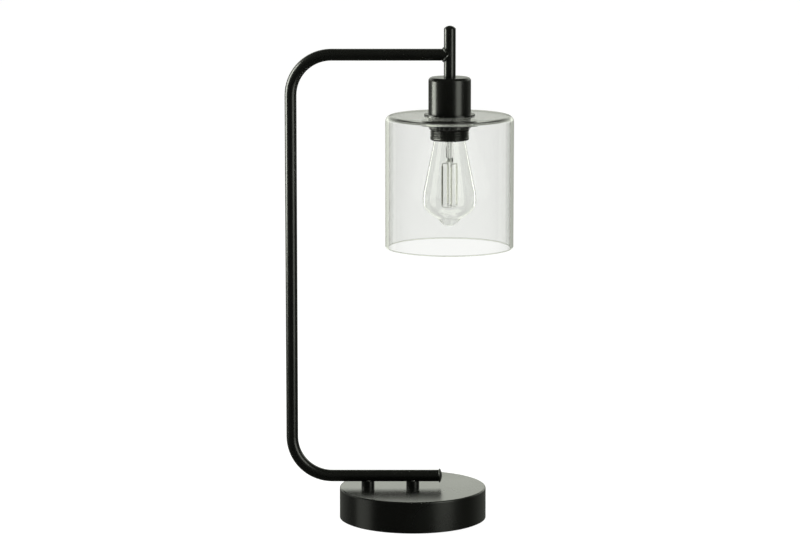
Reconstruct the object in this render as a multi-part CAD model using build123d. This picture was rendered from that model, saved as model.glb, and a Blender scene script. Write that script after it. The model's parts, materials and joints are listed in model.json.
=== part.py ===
from build123d import *
import os
from math import cos, radians, sin, sqrt, tan

# Table lamp with a bent arm, a round weighted base and a clear glass shade.
# Millimetres. The origin is the centre of the foot on the table, +Z is up,
# +X runs from the post towards the lamp head and +Y is the back of the lamp.

# Base
BASE_DIAMETER = 150.0
BASE_HEIGHT = 32.5
BASE_EDGE_RADIUS = 1.6
SHELL_WALL = 1.2
SHELL_LIFT = 0.8
PAD_THICKNESS = 2.5
PAD_EDGE_GAP = 0.5
WEIGHT_EDGE_GAP = 0.4
WEIGHT_WEB = 10.0
WEIGHT_CAVITY_GAP = 1.0

# Cord inlet in the back of the base
CORD_BORE = 6.6
CORD_HEIGHT = 11.0
BUSHING_WALL = 1.8
BUSHING_FLANGE_LIP = 1.8
BUSHING_FLANGE = 2.0
BUSHING_SNAP_LIP = 0.7
BUSHING_SNAP = 2.2
BUSHING_TAIL = 5.0
CORD_NOTCH_GAP = 1.2

# Wires
WIRE_DIAMETER = 1.8
WIRE_GAP = 0.3
WIRE_PASSAGE_GAP = 0.75
WIRE_TURN_RADIUS = 4.0
SPLICE_DIAMETER = 5.2
SPLICE_LENGTH = 12.0
SPLICE_GRIP = 4.0
SPLICE_REACH = 18.0
SPLICE_SPREAD = 4.5

# Bent arm
TUBE_DIAMETER = 12.0
TUBE_WALL = 1.2
BEND_RADIUS = 41.0
POST_OFFSET = 123.5
HEAD_OFFSET = 37.0
ARM_OVERHANG = 26.5
ARM_RISE = 433.0
WELD_RADIUS = 1.6
WELD_LAP_ANGLE = 10.0

# Stand-offs and the studs that clamp the arm to the base
STANDOFF_HEIGHT = 5.1
STANDOFF_DIAMETER = 13.4
STANDOFF_SADDLE = 1.0
STANDOFF_EDGE = 29.0
STUD_WALL = 1.3
STUD_PROUD = 0.3
STUD_TAIL = 1.5
STUD_NUT_FLATS = 13.0
STUD_NUT_HEIGHT = 5.0
STUD_WASHER_DIAMETER = 18.0
STUD_WASHER_THICKNESS = 1.5

# Plug in the free end of the lower arm
PLUG_SHANK = 7.0
PLUG_RIM_DIAMETER = 14.4
PLUG_BACK = 0.9
PLUG_RIM = 0.5
PLUG_DOME = 2.2

# Stem
STEM_RISE = 26.4
STEM_DROP = 22.6
FINIAL_SHANK = 6.0
FINIAL_DOME = 2.9
NIPPLE_IN_STEM = 12.0
NIPPLE_IN_HOLDER = 6.0

# Socket cup and its fastening
CUP_DIAMETER = 43.0
CUP_HEIGHT = 37.3
CUP_WALL = 1.0
CUP_EDGE_RADIUS = 3.5
LOCK_WASHER_DIAMETER = 17.0
LOCK_WASHER_THICKNESS = 0.8
LOCK_WASHER_TEETH = 8
LOCK_WASHER_SLOT = 1.6
CUP_NUT_FLATS = 14.0
CUP_NUT_HEIGHT = 4.0

# Lampholder
SKIRT_DIAMETER = 39.3
SKIRT_BELOW_GLASS = 22.0
SKIRT_EDGE_RADIUS = 2.0
SKIRT_LAND = 2.6
THREAD_PITCH = 2.5
THREAD_DEPTH = 0.9
HOLDER_COLLAR_DIAMETER = 15.0
HOLDER_COLLAR_HEIGHT = 7.0
HOLDER_COLLAR_ROUND = 1.0
HOLDER_SHOULDER = 5.2
HOLDER_CAP_HEIGHT = 23.0
HOLDER_CAP_WALL = 2.3
HOLDER_SPIGOT = 4.0
HOLDER_SPIGOT_WALL = 1.6
MOUTH_WALL = 2.6
MOUTH_DEPTH = 6.0
BLOCK_THICKNESS = 6.0
BLOCK_LEDGE = 4.0
SHELL_SHEET = 0.5
SHELL_LENGTH = 23.6
SHELL_HOLE = 14.0
CONTACT_WIDTH = 5.0
CONTACT_SHEET = 0.4
CONTACT_DROP = 1.6
CONTACT_ROOT = 6.0
CONTACT_FLAT = 3.4
CONTACT_SLOPE = 2.6
CONTACT_TONGUE = 3.0
TERMINAL_OFFSET = 8.0
TAB_LENGTH = 10.0
TAB_WIDTH = 6.4
TAB_THICKNESS = 0.8
TERMINAL_HEAD_DIAMETER = 6.0
TERMINAL_HEAD_HEIGHT = 2.2
TERMINAL_SHANK_DIAMETER = 3.4
TERMINAL_SHANK = 4.6
TERMINAL_SLOT = 0.9

# Glass shade, its washer, its gasket and its ring
SHADE_WASHER_DIAMETER = 51.4
SHADE_WASHER_THICKNESS = 1.2
SHADE_DIAMETER = 130.0
SHADE_HEIGHT = 134.8
SHADE_TOP = 3.0
SHADE_WALL_TOP = 3.2
SHADE_WALL_RIM = 3.0
SHADE_SHOULDER_RADIUS = 6.2
SHADE_INNER_RADIUS = 3.2
SHADE_RIM_RADIUS = 1.3
SHADE_HOLE_GAP = 1.0
GASKET_DIAMETER = 47.0
GASKET_THICKNESS = 5.0
GASKET_EDGE_RADIUS = 1.0
RING_FLANGE_DIAMETER = 56.8
RING_FLANGE = 1.2
RING_HUB_WALL = 1.8
RING_HEIGHT = 5.4
RING_CHAMFER = 1.1
RING_FLUTES = 24
RING_FLUTE_RADIUS = 1.3
RING_FLUTE_DEPTH = 0.5

# Bulb
BULB_DIAMETER = 54.0
BULB_DOME = 19.3
BULB_SHOULDER_RADIUS = 60.0
BULB_CONE_ANGLE = 11.5
BULB_GLASS = 0.9
BULB_NECK = 5.6
BULB_NECK_STEP = 1.5
BULB_NECK_ROUND = 1.4
PIP_ROOT_RADIUS = 8.0
PIP_END_RADIUS = 4.8
PIP_LENGTH = 7.0
PIP_EDGE_RADIUS = 3.2
BULB_CAP_DIAMETER = 26.4
BULB_CAP_SHEET = 0.4
BULB_CAP_LENGTH = 15.6
BULB_CAP_TAPER = 2.4
BULB_CAP_HOLE_RADIUS = 11.0
INSULATOR_PLUG = 1.5
INSULATOR_HEIGHT = 4.4
TIP_DIAMETER = 9.6
TIP_HEIGHT = 1.5
DRIVER_DIAMETER = 17.0
DRIVER_LENGTH = 8.0
MOUNT_TUBE_DIAMETER = 8.0
MOUNT_TUBE_WALL = 1.2
MOUNT_FLARE = 8.0
MOUNT_LIP = 1.0
MOUNT_LENGTH = 33.0
MOUNT_PRESS = 4.0
LEAD_DIAMETER = 0.8
LEAD_BAR_DIAMETER = 1.0
LEAD_OFFSET = 1.6
LEAD_DROP = 1.4
FILAMENT_DIAMETER = 1.8
FILAMENT_LENGTH = 38.0
FILAMENT_CIRCLE_RADIUS = 7.5
FILAMENT_TURN = -33.0
FERRULE_DIAMETER = 1.5
FERRULE_LENGTH = 2.2

# Clearances
SEAT_GAP = 0.05
FASTENER_GAP = 0.2
BODY_GAP = 0.1
THREAD_GAP = 0.2
BULB_THREAD_GAP = 0.3

# Places worked out from the driving dimensions
base_radius = BASE_DIAMETER / 2
shell_inner_radius = base_radius - SHELL_WALL
shell_ceiling = BASE_HEIGHT - SHELL_WALL
web_bottom = shell_ceiling - WEIGHT_WEB
weight_radius = shell_inner_radius - WEIGHT_EDGE_GAP
standoff_spacing = base_radius - STANDOFF_EDGE
cavity_radius = standoff_spacing + STUD_WASHER_DIAMETER / 2 + WEIGHT_CAVITY_GAP
bushing_radius = CORD_BORE / 2 + BUSHING_WALL
snap_radius = bushing_radius + BUSHING_SNAP_LIP

tube_radius = TUBE_DIAMETER / 2
tube_bore = tube_radius - TUBE_WALL
low_arm = BASE_HEIGHT + STANDOFF_HEIGHT + tube_radius
high_arm = low_arm + ARM_RISE

wire_radius = WIRE_DIAMETER / 2
wire_offset = wire_radius + WIRE_GAP / 2
passage_radius = WIRE_DIAMETER + WIRE_GAP / 2 + WIRE_PASSAGE_GAP
splice_radius = SPLICE_DIAMETER / 2
splice_height = PAD_THICKNESS + splice_radius + SEAT_GAP

stud_radius = passage_radius + STUD_WALL
stud_hole_radius = stud_radius + FASTENER_GAP
stud_top = low_arm - tube_bore + STUD_PROUD
stud_washer_bottom = web_bottom - STUD_WASHER_THICKNESS
stud_nut_bottom = stud_washer_bottom - STUD_NUT_HEIGHT
stud_bottom = stud_nut_bottom - STUD_TAIL
stud_places = (0.0, -standoff_spacing)

stem_top = high_arm + STEM_RISE
cup_top = high_arm - STEM_DROP
cup_bottom = cup_top - CUP_HEIGHT
nipple_radius = tube_bore - SEAT_GAP
lock_washer_bottom = cup_top - CUP_WALL - LOCK_WASHER_THICKNESS
holder_top = lock_washer_bottom - CUP_NUT_HEIGHT
nipple_bottom = holder_top - NIPPLE_IN_HOLDER
holder_joint = holder_top - HOLDER_CAP_HEIGHT

glass_top = cup_bottom - SHADE_WASHER_THICKNESS - BODY_GAP
glass_bottom = glass_top - SHADE_HEIGHT
glass_ceiling = glass_top - SHADE_TOP
gasket_top = glass_ceiling - SEAT_GAP
gasket_bottom = gasket_top - GASKET_THICKNESS
ring_top = gasket_bottom - BODY_GAP
skirt_radius = SKIRT_DIAMETER / 2
shade_hole_radius = skirt_radius + SHADE_HOLE_GAP
skirt_bottom = glass_ceiling - SKIRT_BELOW_GLASS
ring_bore = skirt_radius + THREAD_GAP

bulb_cap_radius = BULB_CAP_DIAMETER / 2
screw_shell_bore = bulb_cap_radius + BULB_THREAD_GAP
screw_shell_radius = screw_shell_bore + SHELL_SHEET
holder_bore = screw_shell_radius + FASTENER_GAP
cap_inner_radius = skirt_radius - HOLDER_CAP_WALL
spigot_radius = cap_inner_radius - FASTENER_GAP
block_seat_radius = spigot_radius - HOLDER_SPIGOT_WALL
block_radius = block_seat_radius - FASTENER_GAP
block_bottom = holder_joint - BLOCK_LEDGE
block_top = block_bottom + BLOCK_THICKNESS
tab_top = block_top + TAB_THICKNESS
terminal_x = wire_radius + FASTENER_GAP + TERMINAL_HEAD_DIAMETER / 2

tip_top = block_bottom - CONTACT_DROP - CONTACT_SHEET - BODY_GAP
tip_bottom = tip_top - TIP_HEIGHT
bulb_cap_top = tip_bottom - INSULATOR_HEIGHT
bulb_cap_bottom = bulb_cap_top - BULB_CAP_TAPER - BULB_CAP_LENGTH
bulb_neck_radius = bulb_cap_radius - BULB_CAP_SHEET - FASTENER_GAP
bulb_neck_top = bulb_cap_bottom + BULB_NECK
bulb_step = bulb_cap_bottom - SEAT_GAP
bulb_turn = radians(BULB_CONE_ANGLE)
bulb_cone_foot_radius = BULB_DIAMETER / 2 - BULB_SHOULDER_RADIUS * (1 - cos(bulb_turn))
bulb_cone_length = (bulb_cone_foot_radius - bulb_cap_radius - BULB_NECK_STEP) / tan(bulb_turn)
belly_height = bulb_step - bulb_cone_length - BULB_SHOULDER_RADIUS * sin(bulb_turn)
mount_top = bulb_neck_top
mount_bottom = mount_top - MOUNT_LENGTH
driver_top = bulb_cap_top - INSULATOR_PLUG - SEAT_GAP
driver_bottom = driver_top - DRIVER_LENGTH
lead_bend = mount_bottom - LEAD_DROP
filament_top = lead_bend - FERRULE_LENGTH
filament_bottom = filament_top - FILAMENT_LENGTH

STANDING = (Align.CENTER, Align.CENTER, Align.MIN)


# Shared forms
def turned(outline, rounds=()):
    """Revolve corners given as (radius, height) about Z, after rounding the listed corners."""
    profile = make_face(Polyline(*outline, close=True))
    for corner, radius in rounds:
        profile = fillet(profile.vertices().sort_by_distance(corner)[0], radius)
    return revolve(Plane.XZ * profile, Axis.Z)


def domed(outline, radius, base, height):
    """Revolve an open outline that runs from the axis to a dome's rim, and close it with the dome."""
    sphere = (radius**2 + height**2) / (2 * height)
    halfway = radius / 2
    crown = base + height
    arc = ThreePointArc(
        (radius, base),
        (halfway, crown - sphere + sqrt(sphere**2 - halfway**2)),
        (0, crown),
    )
    edges = Polyline(*outline, (radius, base)) + arc + Line((0, crown), outline[0])
    return revolve(Plane.XZ * make_face(edges), Axis.Z)


def pillar(radius, bottom, top):
    """Upright round solid on the Z axis."""
    return Pos(0, 0, bottom) * Cylinder(radius, top - bottom, align=STANDING)


def sleeve(radius, bore, bottom, top):
    """Upright tube on the Z axis."""
    return pillar(radius, bottom, top) - pillar(bore, bottom, top)


def hex_nut(flats, bore, bottom, top):
    """Hexagon nut on the Z axis."""
    hexagon = RegularPolygon(flats / 2, 6, major_radius=False)
    return Pos(0, 0, bottom) * extrude(hexagon, top - bottom) - pillar(bore, bottom, top)


def swept_rod(path, radius):
    """Round rod along a path."""
    return sweep(Plane(path @ 0, z_dir=path % 0) * Circle(radius), path=path)


def level_rod(radius, start, end):
    """Round rod along X on the upper side of the origin's row, from start to end."""
    return Pos(start, 0, 0) * Rot(0, 90, 0) * Cylinder(radius, end - start, align=STANDING)


def at_head(shape):
    """Move a shape from the origin's axis to the lamp head's axis."""
    return Pos(HEAD_OFFSET, 0, 0) * shape


def at_studs(shape):
    """Copy a shape to both stud places."""
    return [Pos(x, 0, 0) * shape for x in stud_places]


def save(node, *solids):
    """Write one node, which may hold several separate solids."""
    shape = solids[0] if len(solids) == 1 else Compound(children=list(solids))
    export_step(shape, f"parts/{node}.step")


# Base pieces
def base_shell():
    """Pressed cover with a rolled upper edge, two stud holes and the cord's hole."""
    shell = turned(
        [
            (0, BASE_HEIGHT),
            (base_radius, BASE_HEIGHT),
            (base_radius, SHELL_LIFT),
            (shell_inner_radius, SHELL_LIFT),
            (shell_inner_radius, shell_ceiling),
            (0, shell_ceiling),
        ],
        [((base_radius, BASE_HEIGHT), BASE_EDGE_RADIUS)],
    )
    for hole in at_studs(pillar(stud_hole_radius, shell_ceiling, BASE_HEIGHT)):
        shell -= hole
    cord_hole = Cylinder(bushing_radius + FASTENER_GAP, base_radius, align=STANDING)
    return shell - Pos(0, 0, CORD_HEIGHT) * Rot(-90, 0, 0) * cord_hole


def base_weight():
    """Cast disc with a cavity below, stud holes and a notch for the cord."""
    weight = turned(
        [
            (0, shell_ceiling),
            (weight_radius, shell_ceiling),
            (weight_radius, PAD_THICKNESS),
            (cavity_radius, PAD_THICKNESS),
            (cavity_radius, web_bottom),
            (0, web_bottom),
        ]
    )
    for hole in at_studs(pillar(stud_hole_radius, web_bottom, shell_ceiling)):
        weight -= hole
    notch_radius = snap_radius + CORD_NOTCH_GAP
    notch_height = CORD_HEIGHT + notch_radius - PAD_THICKNESS
    notch_start = cavity_radius - notch_radius
    notch = Box(2 * notch_radius, base_radius, notch_height, align=(Align.CENTER, Align.MIN, Align.MIN))
    return weight - Pos(0, notch_start, PAD_THICKNESS) * notch


def cord_bushing():
    """Snap-in bushing whose flange sits on the back of the shell."""
    flange_face = base_radius + SEAT_GAP
    snap_face = sqrt(shell_inner_radius**2 - snap_radius**2) - SEAT_GAP
    tail = snap_face - BUSHING_SNAP - BUSHING_TAIL
    bore = CORD_BORE / 2
    flange_radius = bushing_radius + BUSHING_FLANGE_LIP
    bushing = turned(
        [
            (bore, tail),
            (bushing_radius, tail),
            (bushing_radius, snap_face - BUSHING_SNAP),
            (snap_radius, snap_face),
            (bushing_radius, snap_face),
            (bushing_radius, flange_face),
            (flange_radius, flange_face),
            (flange_radius, flange_face + BUSHING_FLANGE),
            (bore, flange_face + BUSHING_FLANGE),
        ],
        [((flange_radius, flange_face + BUSHING_FLANGE), BUSHING_FLANGE / 2)],
    )
    return Pos(0, 0, CORD_HEIGHT) * Rot(-90, 0, 0) * bushing


def standoff():
    """Short pillar with a saddle for the arm."""
    pedestal = sleeve(
        STANDOFF_DIAMETER / 2, stud_hole_radius, BASE_HEIGHT, low_arm - tube_radius + STANDOFF_SADDLE
    )
    saddle = level_rod(tube_radius + SEAT_GAP, -STANDOFF_DIAMETER, STANDOFF_DIAMETER)
    return pedestal - Pos(0, 0, low_arm) * saddle


# Arm and stem pieces
def arm_path():
    """Centre line of the bent arm, from its free end to the stem's axis."""
    return FilletPolyline(
        (ARM_OVERHANG, 0, low_arm),
        (-POST_OFFSET, 0, low_arm),
        (-POST_OFFSET, 0, high_arm),
        (HEAD_OFFSET, 0, high_arm),
        radius=BEND_RADIUS,
    )


def weld_bead():
    """Bead round the arm's coped end: two slanted half ellipses that meet at the arm's middle height."""
    joint = Plane((HEAD_OFFSET, 0, high_arm), x_dir=(0, 1, 0), z_dir=(1, 0, 1))
    lap = WELD_LAP_ANGLE
    seam = EllipticalCenterArc((0, 0), tube_radius, tube_radius * sqrt(2), -lap, arc_size=180 + 2 * lap)
    above = Box(4 * TUBE_DIAMETER, 4 * TUBE_DIAMETER, 4 * TUBE_DIAMETER, align=STANDING)
    upper = swept_rod(joint * seam, WELD_RADIUS) & Pos(HEAD_OFFSET, 0, high_arm) * above
    return upper + mirror(upper, Plane((0, 0, high_arm)))


def arm_tube():
    """Bent tube with stud holes below, coped and brazed to the stem at its upper end."""
    path = arm_path()
    arm = swept_rod(path, tube_radius) + weld_bead() - swept_rod(path, tube_bore)
    for hole in at_studs(pillar(stud_radius + SEAT_GAP, low_arm - tube_radius - STANDOFF_SADDLE, low_arm)):
        arm -= hole
    return arm - at_head(pillar(tube_radius, cup_top, stem_top))


def arm_end_plug():
    """Push-in plug with a domed head."""
    rim = PLUG_RIM_DIAMETER / 2
    shank = tube_bore - SEAT_GAP
    plug = domed(
        [(0, -PLUG_SHANK), (shank, -PLUG_SHANK), (shank, 0), (tube_radius, 0), (rim, PLUG_BACK)],
        rim,
        PLUG_BACK + PLUG_RIM,
        PLUG_DOME,
    )
    return Pos(ARM_OVERHANG, 0, low_arm) * Rot(0, 90, 0) * plug


def stem_tube():
    """Upright tube with a side hole where the arm's wires come in."""
    stem = sleeve(tube_radius, tube_bore, cup_top, stem_top)
    return at_head(stem - Pos(0, 0, high_arm) * level_rod(passage_radius, -TUBE_DIAMETER, 0))


def stem_finial():
    """Push-in domed plug in the top of the stem."""
    shank = tube_bore - SEAT_GAP
    shank_end = stem_top - FINIAL_SHANK
    outline = [(0, shank_end), (shank, shank_end), (shank, stem_top)]
    return at_head(domed(outline, tube_radius, stem_top, FINIAL_DOME))


# Socket cup pieces
def socket_cup():
    """Spun cup with a rounded upper edge, open below."""
    radius = CUP_DIAMETER / 2
    inner = radius - CUP_WALL
    hole = nipple_radius + FASTENER_GAP
    ceiling = cup_top - CUP_WALL
    cup = turned(
        [
            (hole, cup_top),
            (radius, cup_top),
            (radius, cup_bottom),
            (inner, cup_bottom),
            (inner, ceiling),
            (hole, ceiling),
        ],
        [((radius, cup_top), CUP_EDGE_RADIUS), ((inner, ceiling), CUP_EDGE_RADIUS - CUP_WALL)],
    )
    return at_head(cup)


def cup_lock_washer():
    """Toothed washer under the cup's nut."""
    radius = LOCK_WASHER_DIAMETER / 2
    bore = nipple_radius + FASTENER_GAP
    top = cup_top - CUP_WALL
    washer = sleeve(radius, bore, lock_washer_bottom, top)
    slot_depth = (radius - bore) / 2
    slot = Box(2 * slot_depth, LOCK_WASHER_SLOT, LOCK_WASHER_THICKNESS, align=STANDING)
    for place in PolarLocations(radius, LOCK_WASHER_TEETH):
        washer -= Pos(0, 0, lock_washer_bottom) * place * slot
    return at_head(washer)


# Lampholder pieces
def lampholder_cap():
    """Bell-shaped cap with a threaded collar for the nipple."""
    bore = nipple_radius + SEAT_GAP
    collar = HOLDER_COLLAR_DIAMETER / 2
    collar_bottom = holder_top - HOLDER_COLLAR_HEIGHT
    shoulder_bottom = collar_bottom - HOLDER_SHOULDER
    cap = turned(
        [
            (bore, holder_top),
            (collar, holder_top),
            (collar, collar_bottom),
            (skirt_radius, shoulder_bottom),
            (skirt_radius, holder_joint),
            (cap_inner_radius, holder_joint),
            (cap_inner_radius, shoulder_bottom - HOLDER_CAP_WALL / 2),
            (bore, collar_bottom - HOLDER_CAP_WALL / 2),
        ],
        [((collar, holder_top), HOLDER_COLLAR_ROUND), ((skirt_radius, shoulder_bottom), HOLDER_CAP_WALL)],
    )
    return at_head(cap)


def skirt_ridges():
    """Corners of the skirt's ridges, from the joint with the cap down to the plain land."""
    land_top = skirt_bottom + SKIRT_LAND
    count = int((ring_top - land_top) / THREAD_PITCH)
    corners = []
    for ridge in range(count):
        crest = land_top + (count - ridge) * THREAD_PITCH
        corners.append((skirt_radius, crest))
        corners.append((skirt_radius - THREAD_DEPTH, crest - THREAD_PITCH / 2))
    return corners + [(skirt_radius, land_top)]


def lampholder_body():
    """Holder body with a ridged skirt for the shade ring, a wide mouth and a seat for the block."""
    mouth = skirt_radius - MOUTH_WALL
    mouth_top = skirt_bottom + MOUTH_DEPTH
    spigot_top = holder_joint + HOLDER_SPIGOT
    body = turned(
        [
            (block_seat_radius, spigot_top),
            (spigot_radius, spigot_top),
            (spigot_radius, holder_joint),
            (skirt_radius, holder_joint),
            *skirt_ridges(),
            (skirt_radius, skirt_bottom),
            (mouth, skirt_bottom),
            (mouth, mouth_top),
            (holder_bore, mouth_top),
            (holder_bore, block_bottom),
            (block_seat_radius, block_bottom),
        ],
        [((skirt_radius, skirt_bottom), SKIRT_EDGE_RADIUS)],
    )
    return at_head(body)


def screw_shell():
    """Thin cup that the bulb's cap screws into, riveted under the terminal block."""
    hole = SHELL_HOLE / 2
    lower_end = block_bottom - SHELL_LENGTH
    shell = turned(
        [
            (hole, block_bottom),
            (screw_shell_radius, block_bottom),
            (screw_shell_radius, lower_end),
            (screw_shell_bore, lower_end),
            (screw_shell_bore, block_bottom - SHELL_SHEET),
            (hole, block_bottom - SHELL_SHEET),
        ],
        [((screw_shell_radius, block_bottom), SHELL_SHEET)],
    )
    return at_head(shell)


def centre_contact():
    """Sprung tongue under the terminal block."""
    slope_end = CONTACT_SLOPE - CONTACT_FLAT
    upper = [
        (-CONTACT_ROOT, 0),
        (-CONTACT_FLAT, 0),
        (slope_end, -CONTACT_DROP),
        (CONTACT_TONGUE, -CONTACT_DROP),
    ]
    lower = [(x, z - CONTACT_SHEET) for x, z in reversed(upper)]
    strip = make_face(Polyline(*upper, *lower, close=True))
    tongue = extrude(Plane.XZ * strip, CONTACT_WIDTH / 2, both=True)
    return at_head(Pos(0, 0, block_bottom) * tongue)


def terminal_places():
    """Places of the two terminals on the block, live at the back and neutral at the front."""
    return [Pos(HEAD_OFFSET, side * TERMINAL_OFFSET, 0) for side in (1, -1)]


def terminal_block():
    """Insulating disc that carries the contacts and the terminals."""
    block = at_head(pillar(block_radius, block_bottom, block_top))
    hole = Pos(terminal_x, 0, 0) * pillar(TERMINAL_SHANK_DIAMETER / 2 + SEAT_GAP, block_bottom, block_top)
    for place in terminal_places():
        block -= place * hole
    return block


def terminal_tab():
    """Plate that joins a wire's end to its screw."""
    plate = Pos(terminal_x / 2, 0, block_top) * Box(TAB_LENGTH, TAB_WIDTH, TAB_THICKNESS, align=STANDING)
    return plate - Pos(terminal_x, 0, 0) * pillar(TERMINAL_SHANK_DIAMETER / 2 + SEAT_GAP, block_top, tab_top)


def terminal_screw():
    """Slotted terminal screw."""
    head_radius = TERMINAL_HEAD_DIAMETER / 2
    screw = pillar(head_radius, tab_top, tab_top + TERMINAL_HEAD_HEIGHT)
    screw += pillar(TERMINAL_SHANK_DIAMETER / 2, tab_top - TERMINAL_SHANK, tab_top)
    slot = Box(TERMINAL_HEAD_DIAMETER, TERMINAL_SLOT, TERMINAL_HEAD_HEIGHT / 2, align=STANDING)
    return Pos(terminal_x, 0, 0) * (screw - Pos(0, 0, tab_top + TERMINAL_HEAD_HEIGHT / 2) * slot)


# Shade pieces
def shade_washer():
    """Flat washer between the cup's lower edge and the glass."""
    bore = skirt_radius + FASTENER_GAP
    return at_head(sleeve(SHADE_WASHER_DIAMETER / 2, bore, cup_bottom - SHADE_WASHER_THICKNESS, cup_bottom))


def glass_shade():
    """Clear glass drum, open below, with a drafted inside and a hole for the lampholder."""
    radius = SHADE_DIAMETER / 2
    inner_rim = radius - SHADE_WALL_RIM
    inner_top = radius - SHADE_WALL_TOP
    shade = turned(
        [
            (shade_hole_radius, glass_top),
            (radius, glass_top),
            (radius, glass_bottom),
            (inner_rim, glass_bottom),
            (inner_top, glass_ceiling),
            (shade_hole_radius, glass_ceiling),
        ],
        [
            ((radius, glass_top), SHADE_SHOULDER_RADIUS),
            ((inner_top, glass_ceiling), SHADE_INNER_RADIUS),
            ((radius, glass_bottom), SHADE_RIM_RADIUS),
            ((inner_rim, glass_bottom), SHADE_RIM_RADIUS),
        ],
    )
    return at_head(shade)


def shade_gasket():
    """Soft ring that carries the glass on the threaded ring's flange."""
    radius = GASKET_DIAMETER / 2
    gasket = turned(
        [
            (shade_hole_radius, gasket_top),
            (radius, gasket_top),
            (radius, gasket_bottom),
            (shade_hole_radius, gasket_bottom),
        ],
        [((radius, gasket_top), GASKET_EDGE_RADIUS), ((radius, gasket_bottom), GASKET_EDGE_RADIUS)],
    )
    return at_head(gasket)


def shade_ring():
    """Threaded ring with a fluted hub, whose flange holds the gasket and the glass up."""
    flange = RING_FLANGE_DIAMETER / 2
    hub = ring_bore + RING_HUB_WALL
    flange_bottom = ring_top - RING_FLANGE
    ring_bottom = ring_top - RING_HEIGHT
    ring = turned(
        [
            (ring_bore, ring_top),
            (flange, ring_top),
            (flange, flange_bottom),
            (hub, flange_bottom),
            (hub, ring_bottom + RING_CHAMFER),
            (hub - RING_CHAMFER, ring_bottom),
            (ring_bore, ring_bottom),
        ]
    )
    flute = pillar(RING_FLUTE_RADIUS, ring_bottom, flange_bottom)
    for place in PolarLocations(hub + RING_FLUTE_RADIUS - RING_FLUTE_DEPTH, RING_FLUTES):
        ring -= place * flute
    return at_head(ring)


# Bulb pieces
def bulb_outline(inset):
    """Edges of the bulb's side from the neck's top to the crown, and the crown's height, set in by a wall."""
    belly = BULB_DIAMETER / 2 - inset
    bend = BULB_SHOULDER_RADIUS - inset
    dome = BULB_DOME - inset
    neck = bulb_neck_radius - inset
    step = bulb_step - inset
    cone_foot_radius = belly - bend * (1 - cos(bulb_turn))
    cone_foot = belly_height + bend * sin(bulb_turn)
    cone_top_radius = cone_foot_radius - (step - cone_foot) * tan(bulb_turn)
    half = bulb_turn / 2
    halfway = (belly - bend * (1 - cos(half)), belly_height + bend * sin(half))
    rim = Polyline((0, bulb_neck_top), (neck, bulb_neck_top), (neck, step))
    side = FilletPolyline(
        (neck, step),
        (cone_top_radius, step),
        (cone_foot_radius, cone_foot),
        radius=BULB_NECK_ROUND,
    )
    shoulder = ThreePointArc((cone_foot_radius, cone_foot), halfway, (belly, belly_height))
    crown = EllipticalCenterArc((0, belly_height), belly, dome, start_angle=-90, arc_size=90)
    axis = Line((0, belly_height - dome), (0, bulb_neck_top))
    return rim + side + shoulder + crown + axis, belly_height - dome


def bulb_envelope():
    """Blown bulb with a tapered side and a pip at its crown, hollow and open at its neck."""
    outside, crown = bulb_outline(0)
    inside, _ = bulb_outline(BULB_GLASS)
    pip_tip = crown - PIP_LENGTH
    pip = turned(
        [
            (0, crown + BULB_GLASS),
            (PIP_ROOT_RADIUS, crown + BULB_GLASS),
            (PIP_END_RADIUS, pip_tip),
            (0, pip_tip),
        ],
        [((PIP_END_RADIUS, pip_tip), PIP_EDGE_RADIUS)],
    )
    envelope = revolve(Plane.XZ * make_face(outside), Axis.Z) + pip
    return at_head(envelope - revolve(Plane.XZ * make_face(inside), Axis.Z))


def bulb_screw_cap():
    """Thin metal cap with a tapered upper end."""
    inner = bulb_cap_radius - BULB_CAP_SHEET
    taper_bottom = bulb_cap_top - BULB_CAP_TAPER
    cap = turned(
        [
            (BULB_CAP_HOLE_RADIUS + BULB_CAP_SHEET, bulb_cap_top),
            (bulb_cap_radius, taper_bottom),
            (bulb_cap_radius, bulb_cap_bottom),
            (inner, bulb_cap_bottom),
            (inner, taper_bottom),
            (BULB_CAP_HOLE_RADIUS, bulb_cap_top),
        ]
    )
    return at_head(cap)


def bulb_insulator():
    """Tapered insulator between the cap and the tip contact."""
    plug = BULB_CAP_HOLE_RADIUS - SEAT_GAP
    insulator = turned(
        [
            (0, bulb_cap_top - INSULATOR_PLUG),
            (plug, bulb_cap_top - INSULATOR_PLUG),
            (plug, bulb_cap_top),
            (TIP_DIAMETER / 2, tip_bottom),
            (0, tip_bottom),
        ]
    )
    return at_head(insulator)


def bulb_tip_contact():
    """Domed solder contact at the bulb's end."""
    return at_head(domed([(0, tip_bottom)], TIP_DIAMETER / 2, tip_bottom, TIP_HEIGHT))


def bulb_glass_mount():
    """Glass tube that flares to the neck and is pressed shut round the lead wires."""
    tube = MOUNT_TUBE_DIAMETER / 2
    bore = tube - MOUNT_TUBE_WALL
    flare = bulb_neck_radius - BULB_GLASS - SEAT_GAP
    lip_bottom = mount_top - MOUNT_LIP
    flare_bottom = lip_bottom - MOUNT_FLARE
    press_top = mount_bottom + MOUNT_PRESS
    mount = turned(
        [
            (0, mount_bottom),
            (tube, mount_bottom),
            (tube, flare_bottom),
            (flare, lip_bottom),
            (flare, mount_top),
            (flare - MOUNT_TUBE_WALL, mount_top),
            (flare - MOUNT_TUBE_WALL, lip_bottom),
            (bore, flare_bottom),
            (bore, press_top),
            (0, press_top),
        ],
        [((tube, flare_bottom), MOUNT_FLARE / 2)],
    )
    for side in (1, -1):
        mount -= Pos(side * LEAD_OFFSET, 0, 0) * pillar(LEAD_DIAMETER / 2 + SEAT_GAP, mount_bottom, press_top)
    return at_head(Rot(0, 0, FILAMENT_TURN) * mount)


def filament_places():
    """Corners of the square on which the filaments stand, as pairs of signs."""
    return [(1, 1), (1, -1), (-1, 1), (-1, -1)]


def filament_corner():
    """Half the side of the filaments' square."""
    return FILAMENT_CIRCLE_RADIUS / sqrt(2)


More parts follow.
